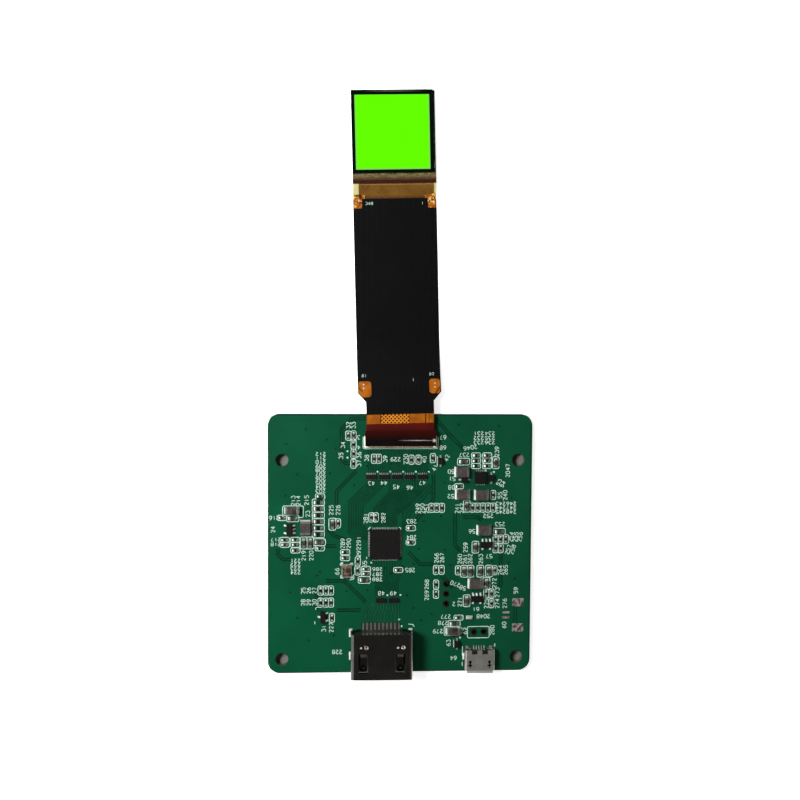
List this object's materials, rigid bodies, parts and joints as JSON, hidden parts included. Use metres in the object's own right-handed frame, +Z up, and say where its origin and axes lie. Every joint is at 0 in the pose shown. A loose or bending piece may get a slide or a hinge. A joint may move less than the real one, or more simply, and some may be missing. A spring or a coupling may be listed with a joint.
{
  "type": "small display module",
  "caption": "Square micro display on a flexible film that plugs into a driver board with a video socket, a power socket and corner mounting holes.",
  "frame": {"origin": "centre of the four mounting holes, on the underside of the circuit board", "axes": "+X to the right along the board's front edge, +Y from the sockets towards the display, +Z up out of the board's component side"},
  "size_m": [0.066, 0.1452, 0.008],
  "materials": {
    "solder_mask": "green glossy solder mask over glass fibre board",
    "gold_plate": "bright gold plate",
    "tinned": "bright tin and solder",
    "dark_shell": "bright sheet steel that mirrors a dark room",
    "pale_shell": "bright sheet steel",
    "black_moulding": "black moulded plastic",
    "ivory_moulding": "ivory moulded plastic",
    "film_amber": "clear amber film",
    "film_copper": "copper with fine tracks",
    "film_red": "dark red cover film",
    "film_black": "black cover film",
    "silicon": "polished silicon",
    "lit_area": "glowing even green",
    "black_border": "black border under the glass",
    "cover_glass": "clear thin glass",
    "epoxy": "dark brown epoxy",
    "chip_black": "black moulding compound",
    "resistor_black": "black glaze on white ceramic",
    "ferrite": "grey brown ferrite",
    "capacitor_brown": "brown ceramic",
    "crystal_ceramic": "pale ceramic",
    "crystal_metal": "warm plated lid",
    "lamp_base": "white plastic",
    "lamp_lens": "clear resin lens"
  },
  "bodies": {
    "root": {"circuit_board": "solder_mask", "plated_holes": "gold_plate", "test_pads": "tinned", "video_shell": "dark_shell", "video_insulator": "black_moulding", "video_contacts": "tinned", "power_shell": "pale_shell", "power_insulator": "black_moulding", "power_contacts": "tinned", "leg_solder": "tinned", "film_socket": "ivory_moulding", "film_socket_contacts": "gold_plate", "film_plug": "ivory_moulding", "film_plug_contacts": "gold_plate", "film_stiffener": "film_red", "film_base": "film_amber", "film_copper": "film_copper", "film_red_cover": "film_red", "film_black_cover": "film_black", "display_die": "silicon", "display_pixels": "lit_area", "display_mask": "black_border", "display_glass": "cover_glass", "bond_epoxy": "epoxy", "main_chip": "chip_black", "main_chip_pads": "tinned", "power_chip": "chip_black", "power_chip_pads": "tinned", "surge_arrays": "chip_black", "surge_array_pads": "tinned", "regulators": "chip_black", "regulator_leads": "tinned", "transistor": "chip_black", "transistor_leads": "tinned", "diodes": "chip_black", "diode_leads": "tinned", "inductors": "ferrite", "inductor_ends": "tinned", "tank_capacitors": "capacitor_brown", "tank_capacitor_ends": "tinned", "large_capacitors": "capacitor_brown", "large_capacitor_ends": "tinned", "large_resistors": "resistor_black", "large_resistor_ends": "tinned", "small_capacitors": "capacitor_brown", "small_capacitor_ends": "tinned", "small_resistors": "resistor_black", "small_resistor_ends": "tinned", "crystal_base": "crystal_ceramic", "crystal_lid": "crystal_metal", "indicator_base": "lamp_base", "indicator_lens": "lamp_lens", "chip_solder": "tinned"}
  },
  "joints": []
}
